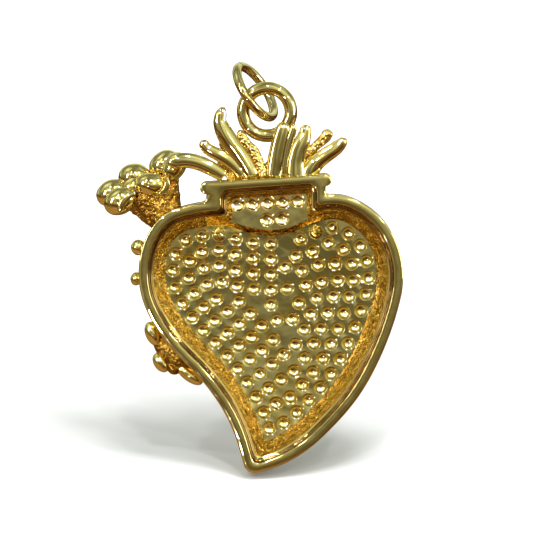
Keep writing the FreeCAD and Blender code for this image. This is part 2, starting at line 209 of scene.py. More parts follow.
def numbered(piece: bpy.types.Object) -> tuple[bmesh.types.BMesh, bmesh.types.BMLayerItem]:
    """The mesh being edited, and the layer that numbers its points."""
    mesh = bmesh.from_edit_mesh(piece.data)
    layers = mesh.verts.layers.int
    return mesh, layers.get("slot") or layers.new("slot")


def finished(piece: bpy.types.Object, outward: Vector | None = None) -> bpy.types.Object:
    """Turns the faces outwards and leaves edit mode with smooth shading.

    Args:
        piece: The piece that is being edited.
        outward: For an open skin, the way that most of its faces look.

    Returns:
        The piece.
    """
    bpy.ops.mesh.select_all(action="SELECT")
    bpy.ops.mesh.normals_make_consistent(inside=False)
    if outward is not None:
        mesh = bmesh.from_edit_mesh(piece.data)
        total = sum((face.normal * face.calc_area() for face in mesh.faces), Vector())
        if total.dot(outward) < 0:
            bpy.ops.mesh.flip_normals()
    bpy.ops.object.mode_set(mode="OBJECT")
    bpy.ops.object.shade_smooth()
    return piece


class Skin:
    """A skin that is extruded ring by ring from a circle."""

    def __init__(self, name: str, rings: list[Ring]) -> None:
        """Lays the first ring and extrudes its edge to each of the others.

        Args:
            name: The piece's name.
            rings: The points of each ring in millimetres, the same number in all.
        """
        self.sides = len(rings[0])
        self.piece = start_outline(name, self.sides)
        mesh, slot = numbered(self.piece)
        for vertex in mesh.verts:
            vertex[slot] = vertex.index
        self._place(rings[0])
        for ring in rings[1:]:
            self._extrude(ring)

    def _place(self, ring: Ring) -> None:
        """Moves the selected points onto a ring."""
        mesh, slot = numbered(self.piece)
        for vertex in mesh.verts:
            if vertex.select:
                vertex.co = ring[vertex[slot]] * MM
        bmesh.update_edit_mesh(self.piece.data)

    def _extrude(self, ring: Ring) -> None:
        """Extrudes the selected open edge to a ring."""
        bpy.ops.mesh.extrude_edges_move()
        self._place(ring)

    def close(self, tip: Vector) -> Skin:
        """Closes the selected open edge at a point."""
        self._extrude([tip] * self.sides)
        bpy.ops.mesh.merge(type="CENTER")
        return self

    def close_both(self, first: Vector, last: Vector) -> Skin:
        """Closes the skin at a point at either end."""
        self.close(last)
        bpy.ops.mesh.select_all(action="DESELECT")
        bpy.ops.mesh.select_non_manifold()
        return self.close(first)

    def finish(self, outward: Vector | None = None) -> bpy.types.Object:
        """The finished piece; an open skin is told which way its faces look."""
        return finished(self.piece, outward)


def even_normals(piece: bpy.types.Object) -> None:
    """Lets wide flats keep their own normals beside narrow roundings."""
    select_only(piece)
    modifier = piece.modifiers.new("even", "WEIGHTED_NORMAL")
    modifier.weight = FLAT_WEIGHT
    bpy.ops.object.modifier_apply(modifier=modifier.name)


@dataclass(frozen=True)
class Grain:
    """Relief that is cast into a surface: its height and the size of one grain."""

    height: float
    size: float
    fine_height: float = 0.5
    fine_scale: float = 2.3

    def on(self, piece: bpy.types.Object, seed: float,
           keep: Callable[[Vector], float] | None = None) -> None:
        """Moves a piece's points in and out along their normals.

        Args:
            piece: The mesh object.
            seed: Shifts the pattern.
            keep: The share of the height that a place in millimetres gets.
        """
        mesh = piece.data
        shift = Vector((seed, seed, seed))
        normals = [vertex.normal.copy() for vertex in mesh.vertices]
        for vertex, normal in zip(mesh.vertices, normals):
            height = self.height * (keep(vertex.co / MM) if keep else 1.0)
            place = vertex.co / (self.size * MM) + shift
            push = noise.noise(place) + self.fine_height * noise.noise(place * self.fine_scale)
            vertex.co = vertex.co + normal * (push * height * MM)
        mesh.update()


# Finishes


class Gilt(Enum):
    """The gilt finishes of the pendant."""

    POLISHED = "polished"
    FLOOR = "floor"
    GRAINED = "grained"
    SPARKLY = "sparkly"
    AMBER = "amber"
    TARNISHED = "step_shade"
    # A dark gilt that paints the shade falling into the rim's step.
    WIRE = "wire"


class Wiring:
    """The nodes of a material or of the world, each added and joined in one call."""

    def __init__(self, owner: bpy.types.Material | bpy.types.World) -> None:
        """Turns the owner's nodes on."""
        owner.use_nodes = True
        self.nodes = owner.node_tree.nodes
        self.links = owner.node_tree.links

    def join(self, node: bpy.types.Node, sockets: dict) -> None:
        """Gives each named socket of a node its value, or the output that feeds it."""
        for socket, value in sockets.items():
            if isinstance(value, Socket):
                self.links.new(value, node.inputs[socket])
            else:
                node.inputs[socket].default_value = value

    def add(self, kind: str, output: str, sockets: dict | None = None, **options: str) -> Socket:
        """Adds a node.

        Args:
            kind: The node's type.
            output: The name of the output that is wanted.
            sockets: Values or feeding outputs of its sockets, by name or number.
            options: The node's own settings.

        Returns:
            The output.
        """
        node = self.nodes.new(kind)
        for option, value in options.items():
            setattr(node, option, value)
        self.join(node, sockets or {})
        return node.outputs[output]

    def cloud(self, place: Socket, scale: float, detail: float = 2.0) -> Socket:
        """Soft noise over a place."""
        return self.add("ShaderNodeTexNoise", "Fac",
                        {"Vector": place, "Scale": scale, "Detail": detail})

    def spread(self, value: Socket, source: tuple[float, float],
               target: tuple[float, float] = (0.0, 1.0)) -> Socket:
        """A value brought from one range into another."""
        return self.add("ShaderNodeMapRange", "Result",
                        {"Value": value, "From Min": source[0], "From Max": source[1],
                         "To Min": target[0], "To Max": target[1]})

    def ramp(self, value: Socket, stops: tuple) -> Socket:
        """A colour that runs through stops of position and colour."""
        colour = self.add("ShaderNodeValToRGB", "Color", {"Fac": value})
        elements = colour.node.color_ramp.elements
        for element, (position, tone) in ((elements[0], stops[0]), (elements[-1], stops[-1])):
            element.position = position
            element.color = (*tone, 1.0)
        for position, tone in stops[1:-1]:
            elements.new(position).color = (*tone, 1.0)
        return colour

    def bump(self, height: Socket, depth: float, below: Socket | None = None) -> Socket:
        """A bump of a depth in millimetres, over the one below it."""
        sockets = {"Height": height, "Distance": depth * MM}
        if below:
            sockets["Normal"] = below
        return self.add("ShaderNodeBump", "Normal", sockets)


@dataclass(frozen=True)
class GiltFinish:
    """A gilt surface: colour, shine, and the waves and grain that break its reflections."""

    colour: tuple[float, float, float]
    deep: tuple[float, float, float]
    roughness: tuple[float, float]
    wave: float
    wave_size: float
    grain: float = 0.0
    grain_size: float = 0.3
    tone_band: tuple[float, float] = (0.32, 0.62)
    shine_band: tuple[float, float] = (0.35, 0.65)
    tone_to_grain: float = 2.5
    tone_to_wave: float = 1.7
    shine_to_wave: float = 0.6
    fine_to_grain: float = 0.5
    fine_depth: float = 0.6

    def material(self, name: str) -> bpy.types.Material:
        """The finish as a node material that reads Object coordinates."""
        made = bpy.data.materials.new(name)
        wires = Wiring(made)
        place = wires.add("ShaderNodeTexCoord", "Object")

        def cloud(size: float, detail: float) -> Socket:
            """Noise with patches of a size in millimetres."""
            return wires.cloud(place, 1 / (size * MM), detail)

        patch = self.wave_size * self.tone_to_wave
        if self.grain:
            patch = self.grain_size * self.tone_to_grain
        tone = cloud(patch, detail=3.0)
        dark, pale = self.tone_band
        shine = cloud(self.wave_size * self.shine_to_wave, detail=4.0)
        normal = wires.bump(cloud(self.wave_size, detail=1.5), self.wave)
        if self.grain:
            cells = wires.add("ShaderNodeTexVoronoi", "Distance",
                              {"Vector": place, "Scale": 1 / (self.grain_size * MM)})
            normal = wires.bump(cells, self.grain, normal)
            fine = cloud(self.grain_size * self.fine_to_grain, detail=2.0)
            normal = wires.bump(fine, self.grain * self.fine_depth, normal)
        wires.join(wires.nodes["Principled BSDF"], {
            "Metallic": 1.0,
            "Base Color": wires.ramp(tone, ((dark, self.deep), (pale, self.colour))),
            "Roughness": wires.spread(shine, self.shine_band, self.roughness),
            "Normal": normal,
        })
        return made


FINISHES = {
    Gilt.POLISHED: GiltFinish((0.90, 0.73, 0.31), (0.82, 0.62, 0.22), (0.03, 0.09),
                              wave=0.03, wave_size=2.0),
    Gilt.FLOOR: GiltFinish((0.92, 0.79, 0.39), (0.82, 0.63, 0.23), (0.03, 0.09),
                           wave=0.04, wave_size=1.8),
    Gilt.GRAINED: GiltFinish((0.66, 0.44, 0.085), (0.44, 0.23, 0.022), (0.12, 0.28),
                             wave=0.10, wave_size=0.9, grain=0.10, grain_size=0.26),
    Gilt.SPARKLY: GiltFinish((0.80, 0.58, 0.18), (0.56, 0.32, 0.05), (0.10, 0.22),
                             wave=0.08, wave_size=0.8, grain=0.09, grain_size=0.30),
    Gilt.AMBER: GiltFinish((0.42, 0.23, 0.035), (0.20, 0.085, 0.008), (0.14, 0.30),
                           wave=0.12, wave_size=1.0, grain=0.10, grain_size=0.32),
    # Painted shade: a dark brown gilt for the rim's step, the groove between band and lip that lies
    # in shade.
    Gilt.TARNISHED: GiltFinish((0.34, 0.21, 0.07), (0.15, 0.07, 0.015), (0.06, 0.14),
                               wave=0.04, wave_size=1.2),
    Gilt.WIRE: GiltFinish((0.82, 0.66, 0.29), (0.74, 0.52, 0.18), (0.05, 0.11),
                          wave=0.04, wave_size=1.6),
}


class Wardrobe:
    """Dresses pieces, one shared material to a finish, and ties them to the frame."""

    def __init__(self) -> None:
        """Makes each finish's material once."""
        self.made = {kind: finish.material(f"gilt_{kind.value}")
                     for kind, finish in FINISHES.items()}

    def dress(self, piece: bpy.types.Object, finish: Gilt, node: str = "heart_casting",
              body: str = "pendant") -> bpy.types.Object:
        """Gives a piece its finish and its body, and hides the frame's node that it stands for."""
        piece.data.materials.clear()
        piece.data.materials.append(self.made[finish])
        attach(piece, body)
        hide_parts(node)
        LOG.info("%s: %d faces, %s", piece.name, len(piece.data.polygons), finish.value)
        return piece


# Outlines


@dataclass(frozen=True)
class HeartOutline:
    """The heart's outline as tangent arcs, moved inwards at will."""

    width: float = 25.0
    height: float = 26.7
    drop: float = 7.8
    shift: float = 0.33
    spacing: float = 0.125
    middle_share: float = 0.46
    tip_radius: float = 1.1
    sharp_tip: float = 0.35
    tip_closing: float = 0.45
    stations: tuple = (
        (0.004, 0.058, 180.0), (-0.467, 0.025, 185.0), (-0.901, 0.117, 236.0),
        (-0.999, 0.292, 272.0), (-0.810, 0.512, 307.0), (-0.513, 0.665, 310.0),
        (-0.300, 0.822, 294.0), "tip", (0.164, 0.943, 29.0), (0.551, 0.786, 48.0),
        (0.920, 0.476, 71.0), (1.000, 0.252, 97.0), (0.766, 0.051, 143.0), (0.438, 0.000, 185.0),
    )
    tip_place: tuple[float, float] = (-0.181, 1.0)
    tip_ways: tuple[float, float] = (285.0, 15.0)

    def place(self, x_share: float, z_share: float) -> Vector:
        """A point in shares of the half width and the height."""
        return flat(self.shift + x_share * self.width / 2, -self.drop - z_share * self.height)

    @property
    def middle(self) -> Vector:
        """Where the floor is deepest and the dome highest."""
        return self.place(0.0, self.middle_share)

    def tip_at(self, inset: float) -> float:
        """The rounding of the hollow's tip, which sharpens inwards."""
        return max(self.sharp_tip, self.tip_radius - inset * self.tip_closing)

    def _tip(self, inset: float, radius: float) -> list[tuple[Vector, Vector]]:
        """Where the tip's rounding starts and ends."""
        arriving, leaving = (heading(angle) for angle in self.tip_ways)
        sides = left_of(arriving) + left_of(leaving)
        apex = self.place(*self.tip_place) + sides * (
            inset / (1 + left_of(arriving).dot(left_of(leaving))))
        back_off = radius * math.tan(arriving.angle(leaving) / 2)
        return [(apex - arriving * back_off, arriving), (apex + leaving * back_off, leaving)]

    def _arcs(self, inset: float, radius: float) -> list[tuple[Vector, Vector, Vector]]:
        """Every arc of the outline: start, heading there, and end."""
        marks = []
        for station in self.stations:
            if station == "tip":
                marks += self._tip(inset, radius)
                continue
            way = heading(station[2])
            marks.append((self.place(station[0], station[1]) + left_of(way) * inset, way))
        arcs = []
        for (start, way), (end, end_way) in zip(marks, marks[1:] + marks[:1]):
            gap = end - start
            reach, spread = gap.dot(way + end_way), 2 * (1 - way.dot(end_way))
            if spread < TINY:
                length = gap.dot(gap) / (2 * reach)
            else:
                length = (math.sqrt(reach * reach + spread * gap.dot(gap)) - reach) / spread
            joint = (start + end + (way - end_way) * length) * 0.5
            arcs.append((start, way, joint))
            arcs.append((joint, turned(way, 2 * turn_between(way, joint - start)), end))
        return arcs

    @cached_property
    def counts(self) -> list[int]:
        """How many points each arc gets, the same at every inset."""
        return [max(2, round((end - start).length / self.spacing))
                for start, _, end in self._arcs(0.0, self.tip_radius)]

    def ring(self, inset: float, radius: float | None = None) -> Ring:
        """The outline moved inwards, from the cleft by the left lobe and the tip."""
        points = []
        arcs = self._arcs(inset, radius or self.tip_radius)
        for count, (start, way, end) in zip(self.counts, arcs):
            chord = end - start
            turn = turn_between(way, chord)
            for step in range(count):
                t = step / count
                length = t if abs(turn) < NO_TURN else math.sin(turn * t) / math.sin(turn)
                points.append(start + turned(way, turn * t) * (chord.length * length))
        return points


@dataclass(frozen=True)
class CollarOutline:
    """The collar above the heart: a bar with round ends on a neck, and its pocket."""

    width: float = 11.3
    drop: float = 6.8
    shift: float = -0.12
    tilt: float = 3.9
    end_radius: float = 0.58
    lip: float = 0.78
    left_side: float = 1.35
    right_side: float = 0.80
    pocket_radius: float = 0.9
    pocket_closing: float = 0.6
    end_steps: int = 16
    corner_steps: int = 10

    @property
    def along(self) -> Vector:
        """The way along the bar."""
        return heading(self.tilt)

    @property
    def ends(self) -> tuple[Vector, Vector]:
        """The middles of the bar's round ends, left and right."""
        middle = flat(self.shift, -self.drop)
        return middle - self.along * (self.width / 2), middle + self.along * (self.width / 2)

    def place(self, x_share: float, z_share: float) -> Vector:
        """A point in shares of the half width and of the height below the loop."""
        return flat(self.shift + x_share * self.width / 2, (z_share - 1) * self.drop)

    def neck_xs(self, inset: float) -> tuple[float, float]:
        """Where the neck's sides stand."""
        left, right = self.ends
        return left.x + inset, right.x - inset

    def bar(self, inset: float) -> Ring:
        """The bar's edge from the right neck over the top to the left neck."""
        left, right = self.ends
        radius = self.end_radius - inset
        return [end + heading(self.tilt + start + 180 * step / self.end_steps) * radius
                for end, start in ((right, -90), (left, 90))
                for step in range(self.end_steps + 1)]

    def pocket_corners(self, inset: float) -> tuple[Vector, Vector]:
        """The pocket's upper corners before rounding, left and right."""
        left, right = self.ends
        rise = left_of(self.along) * (self.end_radius - self.lip - inset)
        return (left + self.along * (self.left_side + inset) + rise,
                right - self.along * (self.right_side + inset) + rise)

    def pocket_xs(self, inset: float) -> tuple[float, float]:
        """Where the pocket's sides stand."""
        left, right = self.pocket_corners(inset)
        return left.x, right.x

    def pocket(self, inset: float) -> Ring:
        """The pocket's edge over the top, from its right side to its left."""
        left, right = self.pocket_corners(inset)
        radius = self.pocket_radius - max(inset, 0.0) * self.pocket_closing
        down = flat(0, -1)
        points = []
        for corner, first, last in ((right, down, -self.along), (left, self.along, down)):
            half = first.angle(last) / 2
            back = radius / math.tan(half)
            middle = corner + (first + last).normalized() * (radius / math.sin(half))
            start, end = corner + first * back - middle, corner + last * back - middle
            sweep = turn_between(start, end)
            points += [middle + turned(start, sweep * step / self.corner_steps)
                       for step in range(self.corner_steps + 1)]
        return points


@dataclass(frozen=True)
class Joined:
    """The heart's outline joined with another line that crosses its cleft."""

    heart: HeartOutline
    first: int
    last: int
    bend: float = 0.5
    fillet: int = 7
    run: int = 22
    side: int = 24
    top: int = 60

    @classmethod
    def at(cls, heart: HeartOutline, left_x: float, right_x: float, clear: float) -> "Joined":
        """Keeps the heart's points from a little left to a little right of a crossing line."""
        ring = heart.ring(0.0)
        count = len(ring)
        first = next(i for i in range(count) if ring[i].x < left_x - clear)
        last = next(i for i in range(count - 1, 0, -1) if ring[i].x > right_x + clear)
        return cls(heart, first, last)

    @staticmethod
    def _crossing(ring: Ring, x: float, indices: range) -> tuple[Vector, int]:
        """Where a ring passes an upright line, and the point before it."""
        for index in indices:
            here, after = ring[index], ring[(index + 1) % len(ring)]
            if (here.x - x) * (after.x - x) <= 0 and here.x != after.x:
                return here.lerp(after, (x - here.x) / (after.x - here.x)), index
        raise ValueError("the line doesn't cross the outline")

    def _bridge(self, ring: Ring, over: Ring, sides: tuple[float, float]) -> dict[str, Ring]:
        """The stretches between the heart's ring and the line that crosses it."""
        count = len(ring)
        left, left_at = self._crossing(ring, sides[0], range(0, count // 2))
        right, right_at = self._crossing(ring, sides[1], range(count - 1, count // 2, -1))
        left_run = trimmed([left] + ring[left_at + 1: self.first + 1], self.bend)
        right_run = trimmed([right] + ring[self.last: right_at + 1][::-1], self.bend)
        foot_right = flat(sides[1], right.y + self.bend)
        foot_left = flat(sides[0], left.y + self.bend)
        half = len(over) // 2
        line = (resampled([foot_right] + over[:half], self.side)
                + resampled([over[half - 1], over[half]], self.top)[1:-1]
                + resampled(over[half:] + [foot_left], self.side))
        return {
            "over": (self._rounded(right_run[0], right, foot_right) + line
                     + self._rounded(foot_left, left, left_run[0])),
            "right": resampled(right_run, self.run)[::-1],
            "left": resampled(left_run, self.run),
            "cleft": [left] + [ring[i % count] for i in range(left_at, right_at - count, -1)]
                     + [right],
        }

    def loop(self, ring: Ring, over: Ring, sides: tuple[float, float]) -> Ring:
        """One closed loop: the heart's ring, and the other line over its cleft.

        Args:
            ring: The heart's ring.
            over: The line from the right side over the top to the left side.
            sides: The line's X at its left and right foot.

        Returns:
            The loop, with the same number of points at every inset.
        """
        parts = self._bridge(ring, over, sides)
        body = ring[self.first: self.last + 1]
        return body[:-1] + parts["right"] + parts["over"] + parts["left"][:-1]

    def cap(self, ring: Ring, over: Ring, sides: tuple[float, float]) -> Ring:
        """The closed loop round what lies under the line and outside the heart's ring."""
        parts = self._bridge(ring, over, sides)
        return [parts["right"][-1]] + parts["over"] + [parts["left"][0]] + parts["cleft"]

    def _rounded(self, start: Vector, corner: Vector, end: Vector) -> Ring:
        """A rounding between two lines, without its ends."""
        points = []
        for step in range(1, self.fillet):
            t = step / self.fillet
            points.append(start.lerp(corner, t).lerp(corner.lerp(end, t), t))
        return points


# The casting


@dataclass(frozen=True)
class Hollow:
    """The sizes of the open back, in millimetres.

    A row of the rim is its inset from the heart's edge, its inset from the pocket's edge and its
    depth, and a row of the side is an inset and a depth.
    """

    side: tuple = ((0.0, 0.8), (0.0, -1.44), (0.02, -1.52), (0.06, -1.575), (0.13, -1.60))
    rim: tuple = ((0.79, -0.06, -1.600), (0.83, -0.02, -1.590), (0.86, 0.01, -1.560),
                  (0.93, 0.08, -1.400), (1.00, 0.15, -1.280), (1.06, 0.21, -1.250),
                  (1.12, 0.27, -1.250), (1.20, 0.35, -1.220), (1.26, 0.41, -1.160),
                  (1.30, 0.45, -1.150), (1.38, 0.53, -1.120))
    step_rows: tuple[int, int] = (2, 8)
    band_rise: float = 0.018
    shelf: float = -0.2
    foot: float = 1.0
    slope: float = 0.51
    bowl: float = 0.3
    bowl_reach: float = 10.5
    true_edge: float = 0.25

    @property
    def shelf_insets(self) -> tuple[float, float]:
        """How far in the wall stands at the pocket's floor, for the heart and the pocket."""
        heart, pocket, level = self.rim[-1]
        lean = (self.shelf - level) * self.slope
        return heart + lean, pocket + lean

    @property
    def foot_inset(self) -> float:
        """How far in the wall's foot stands."""
        heart, _, level = self.rim[-1]
        return heart + (self.foot - level) * self.slope


@dataclass
class OpenBack:
    """The rim and the rough walls of the heart and of the collar's pocket."""

    clothes: Wardrobe
    heart: HeartOutline
    collar: CollarOutline
    hollow: Hollow = Hollow()
    clear: float = 0.75
    band_shares: tuple = (0.25, 0.5, 0.75)
    wall_steps: tuple[int, int] = (7, 10)
    grain: Grain = Grain(0.055, 0.34)

    def __post_init__(self) -> None:
        """Finds which points of the heart every joined loop keeps."""
        left, right = self.collar.neck_xs(-self.collar.end_radius)
        self.joined = Joined.at(self.heart, left, right, self.clear)

    def outer(self, inset: float) -> Ring:
        """The casting's edge: the heart and the collar as one loop, moved inwards."""
        return self.joined.loop(self.heart.ring(inset), self.collar.bar(inset),
                                self.collar.neck_xs(inset))

    def inner(self, inset: float, pocket: float) -> Ring:
        """The hollow's edge: the heart and the pocket as one loop, moved inwards."""
        return self.joined.loop(self.heart.ring(inset, self.heart.tip_at(inset)),
                                self.collar.pocket(pocket), self.collar.pocket_xs(pocket))

    def rim(self) -> None:
        """The polished side and band, the stepped ledge darkened with painted shade, and its bright
        lip.
        """
        rings = [stand(self.outer(inset), level) for inset, level in self.hollow.side]
        sections = [stand(self.inner(heart, pocket), level)
                    for heart, pocket, level in self.hollow.rim]
        edge = rings[-1]
        for share in self.band_shares:
            rise = TO_BACK * (self.hollow.band_rise * math.sin(math.pi * share))
            rings.append([a.lerp(b, share) + rise for a, b in zip(edge, sections[0])])
        first, last = self.hollow.step_rows
        for name, part, finish in (
                ("rim", rings + sections[:first + 1], Gilt.POLISHED),
                # The step wears the dark gilt, which paints the shade in its groove.
                ("rim_step", sections[first: last + 1], Gilt.TARNISHED),
                ("rim_lip", sections[last:], Gilt.POLISHED)):
            self.clothes.dress(Skin(name, part).finish(TO_BACK), finish)

    def walls(self) -> None:
        """The rough drafted walls above and below the level of the pocket's floor."""
        heart, pocket, level = self.hollow.rim[-1]
        shelf, shelf_pocket = self.hollow.shelf_insets
        above, below = self.wall_steps
        upper = [stand(self.inner(between(heart, shelf, share),
                                  between(pocket, shelf_pocket, share)),
                       between(level, self.hollow.shelf, share)) for share in shares(above)]
        lower = [stand(self.heart.ring(between(shelf, self.hollow.foot_inset, share),
                                       self.heart.sharp_tip),
                       between(self.hollow.shelf, self.hollow.foot, share))
                 for share in shares(below)]
        for name, rings, seed in (("wall_upper", upper, 3.0), ("wall_lower", lower, 8.0)):
            piece = Skin(name, rings).finish(TO_BACK)
            self.grain.on(piece, seed, self._wall_share)
            self.clothes.dress(piece, Gilt.GRAINED)

    def _wall_share(self, place: Vector) -> float:
        """Keeps the wall's upper edge true, where it meets the polished lip."""
        below_lip = place.y - self.hollow.rim[-1][-1]
        return min(1.0, max(0.0, below_lip / self.hollow.true_edge))

    def depth(self, point: Vector) -> float:
        """The depth of the hollow's floor under a point of the drawing."""
        off = (point - self.heart.middle).length / self.hollow.bowl_reach
        return self.hollow.foot + self.hollow.bowl * max(0.0, 1 - off ** 2)


@dataclass(frozen=True)
class Pits:
    """Where the pits of the floors stand and how they are shaped."""

    heart: HeartOutline
    foot: float
    radius: float = 0.66
    deep: float = 0.40
    pitch: float = 1.58
    row: float = 1.45
    margin: float = 0.12
    closest: float = 0.905
    sides: int = 20
    last_row: float = 13.0
    slack: float = 0.06
    search: float = 0.2
    search_across: int = 60
    search_down: int = 135

    def centres(self) -> Ring:
        """Rows of pits that follow the outline inwards."""
        ring = self.heart.ring(0.0)
        inward = [left_of(after - before).normalized()
                  for before, after in zip(ring[-1:] + ring[:-1], ring[1:] + ring[:1])]
        spots, inset = [], self.foot + self.radius + self.margin
        while inset < self.last_row:
            moved = [point + way * inset for point, way in zip(ring, inward)]
            row = [point for point in moved if self._clear(point, ring, inset)]
            spots += self._spread(row, spots)
            inset += self.row
        return spots + self._fill(ring, spots)

    def _fill(self, ring: Ring, spots: Ring) -> Ring:
        """More pits where the rows leave room for one."""
        more: Ring = []
        least = self.foot + self.radius + self.margin
        for across in range(-self.search_across, self.search_across + 1):
            for down in range(self.search_down):
                step = flat(across * self.search, -down * self.search)
                point = self.heart.place(0.0, 0.0) + step
                near = min((point - other).length for other in spots + more)
                if near > self.pitch * self.closest and self._clear(point, ring, least):
                    more.append(point)
        return more

    def _clear(self, point: Vector, ring: Ring, inset: float) -> bool:
        """Whether a moved point still lies inside and that far from the whole outline."""
        near = min((point - other).length_squared for other in ring)
        return near > (inset - self.slack) ** 2 and inside(point, ring)

    def _spread(self, row: Ring, others: Ring) -> Ring:
        """Points of a row that stand clear of one another and of the rows before."""
        chosen: Ring = []
        gap = self.pitch * self.closest
        travelled, before = self.pitch, None
        for point in row:
            travelled += (point - before).length if before else 0.0
            before = point
            near = any((point - other).length < gap for other in others + chosen)
            if travelled >= self.pitch and not near:
                chosen.append(point)
                travelled = 0.0
        return chosen


@dataclass
class Floors:
    """The pitted floors of the heart's hollow and of the collar's pocket.

    A row of the pocket is how many pits it has, how far down it lies and how far along it is
    shifted, in pitches. A row of the cup is its share of the radius and of the depth.
    """

    clothes: Wardrobe
    back: OpenBack
    pocket_rows: tuple = ((5, 1.15, 0.05), (2, 2.15, 0.43))
    pocket_deep: float = 0.26
    cup: tuple = ((1.0, 0.0), (0.965, 0.05), (0.90, 0.20), (0.76, 0.50), (0.56, 0.76),
                  (0.34, 0.92), (0.13, 0.99), (0.0, 1.0))
    mouth: float = 1.05
    edge_step: int = 3
    merged: float = 0.001

    def pitted(self, name: str, edge: Ring, spots: Ring, pits: Pits,
               level: Callable[[Vector], float]) -> None:
        """A floor inside an edge, with a round cup at every spot.

        Args:
            name: The piece's name.
            edge: The floor's outline in the drawing.
            spots: The middles of the cups.
            pits: How the cups are shaped.
            level: The floor's depth under a point.
        """
        piece = self._plate(name, edge, spots, pits, level)
        self._select_mouths(piece)
        before = self.mouth
        for share, drop in self.cup:
            bpy.ops.mesh.extrude_edges_move()
            mesh, slot = numbered(piece)
            for vertex in mesh.verts:
                if vertex.select:
                    spot = spots[vertex[slot]]
                    off = flat(vertex.co.x / MM, vertex.co.z / MM) - spot
                    place = spot + off * (share / before)
                    vertex.co = Vector((place.x, level(spot) + drop * pits.deep, place.y)) * MM
            bmesh.update_edit_mesh(piece.data)
            before = share
        bpy.ops.mesh.remove_doubles(threshold=self.merged * MM)
        bpy.ops.mesh.select_mode(type="VERT")
        even_normals(finished(piece, TO_BACK))
        self.clothes.dress(piece, Gilt.FLOOR)

    def _plate(self, name: str, edge: Ring, spots: Ring, pits: Pits,
               level: Callable[[Vector], float]) -> bpy.types.Object:
        """The flat of a floor, with a round hole where each cup will be."""
        piece = start_outline(name, len(edge))
        mesh, slot = numbered(piece)
        for vertex, point in zip(mesh.verts, edge):
            vertex.co = Vector((point.x, level(point), point.y)) * MM
            vertex[slot] = -1
        bmesh.update_edit_mesh(piece.data)
        for number, spot in enumerate(spots):
            bpy.ops.mesh.primitive_circle_add(
                vertices=pits.sides, radius=pits.radius * self.mouth * MM,
                location=Vector((spot.x, level(spot), spot.y)) * MM,
                rotation=(math.radians(90), 0, 0))
            mesh, slot = numbered(piece)
            for vertex in mesh.verts:
                if vertex.select:
                    vertex[slot] = number
        bpy.ops.mesh.select_all(action="SELECT")
        bpy.ops.mesh.fill(use_beauty=True)
        return piece

    @staticmethod
    def _select_mouths(piece: bpy.types.Object) -> None:
        """Selects the open edges round every cup."""
        bpy.ops.mesh.select_all(action="DESELECT")
        bpy.ops.mesh.select_mode(type="EDGE")
        mesh, slot = numbered(piece)
        for edge in mesh.edges:
            first, last = edge.verts
            if edge.is_boundary and first[slot] == last[slot] >= 0:
                edge.select_set(True)
        mesh.select_flush_mode()
        bmesh.update_edit_mesh(piece.data)

    def heart_floor(self) -> None:
        """The floor of the heart's hollow."""
        heart, foot = self.back.heart, self.back.hollow.foot_inset
        pits = Pits(heart, foot)
        edge = heart.ring(foot, heart.sharp_tip)[::self.edge_step]
        self.pitted("floor", edge, pits.centres(), pits, self.back.depth)

    def pocket_floor(self) -> None:
        """The floor of the collar's pocket, which ends at the edge over the cleft."""
        heart, collar = self.back.heart, self.back.collar
        inset, pocket = self.back.hollow.shelf_insets
        edge = self.back.joined.cap(heart.ring(inset, heart.sharp_tip), collar.pocket(pocket),
                                    collar.pocket_xs(pocket))
        pits = Pits(heart, 0.0, deep=self.pocket_deep)
        left, right = collar.ends
        middle, up = (left + right) / 2, left_of(collar.along)
        spots = []
        for count, drop, shift in self.pocket_rows:
            for number in range(count):
                step = shift + number - (count - 1) / 2
                spots.append(middle + collar.along * (step * pits.pitch * pits.closest)
                             - up * (drop * pits.pitch))
        self.pitted("pocket_floor", edge, spots, pits, lambda point: self.back.hollow.shelf)


@dataclass
class Front:
    """The plain domed front of the heart and the front of the collar.

    The roll is how far in and how high the heart's edge rises before the dome takes over, and a
    row of the collar's edge is an inset and a depth.
    """

    clothes: Wardrobe
    back: OpenBack
    side_top: float = 0.8
    crown: float = 3.0
    fall: float = 112.0
    blend: float = 0.6
    roll: tuple[float, float] = (1.5, 2.2)
    edge_insets: tuple = (0.0, 0.10, 0.25, 0.45, 0.70, 1.0, 1.35)
    dome_shares: tuple = (0.92, 0.82, 0.70, 0.56, 0.42, 0.28, 0.14, 0.05)
    clear_of_dome: float = 9.0
    collar_edge: tuple = ((0.0, -0.5), (0.0, 1.12), (0.03, 1.22), (0.10, 1.28), (0.2, 1.3))
    collar_foot: float = -11.4

    def dome(self) -> None:
        """A shallow dome inside a rolled edge."""
        heart = self.back.heart
        middle = heart.middle
        rings = []
        for inset in self.edge_insets:
            rise = self.side_top + inset / self.roll[0] * self.roll[1]
            rings.append(stand(heart.ring(inset), self._under(middle, rise)))
        inner = heart.ring(self.edge_insets[-1])
        free = self._under(middle, self.clear_of_dome)
        for share in self.dome_shares:
            rings.append(stand([middle.lerp(point, share) for point in inner], free))
        tip = Vector((middle.x, self.crown, middle.y))
        piece = Skin("front_dome", rings).close(tip).finish(TO_FRONT)
        self.clothes.dress(piece, Gilt.POLISHED)

    def _under(self, middle: Vector, rise: float) -> Callable[[Vector], float]:
        """The lower of the edge's slope and the dome, blended where they meet."""
        def depth(point: Vector) -> float:
            """The front's depth over a point of the drawing."""
            crown = self.crown - (point - middle).length_squared / self.fall
            gap = min(1.0, max(0.0, 0.5 + (crown - rise) / self.blend))
            return between(crown, rise, gap) - self.blend / 2 * gap * (1 - gap)
        return depth

    def collar(self) -> None:
        """The front of the collar, which runs into the dome."""
        shape = self.back.collar
        rings = []
        for inset, level in self.collar_edge:
            feet = [flat(x, self.collar_foot) for x in shape.neck_xs(inset)]
            rings.append(stand(shape.bar(inset) + feet, level))
        piece = Skin("collar_front", rings).close(middle_of(rings[-1])).finish(TO_FRONT)
        self.clothes.dress(piece, Gilt.POLISHED)


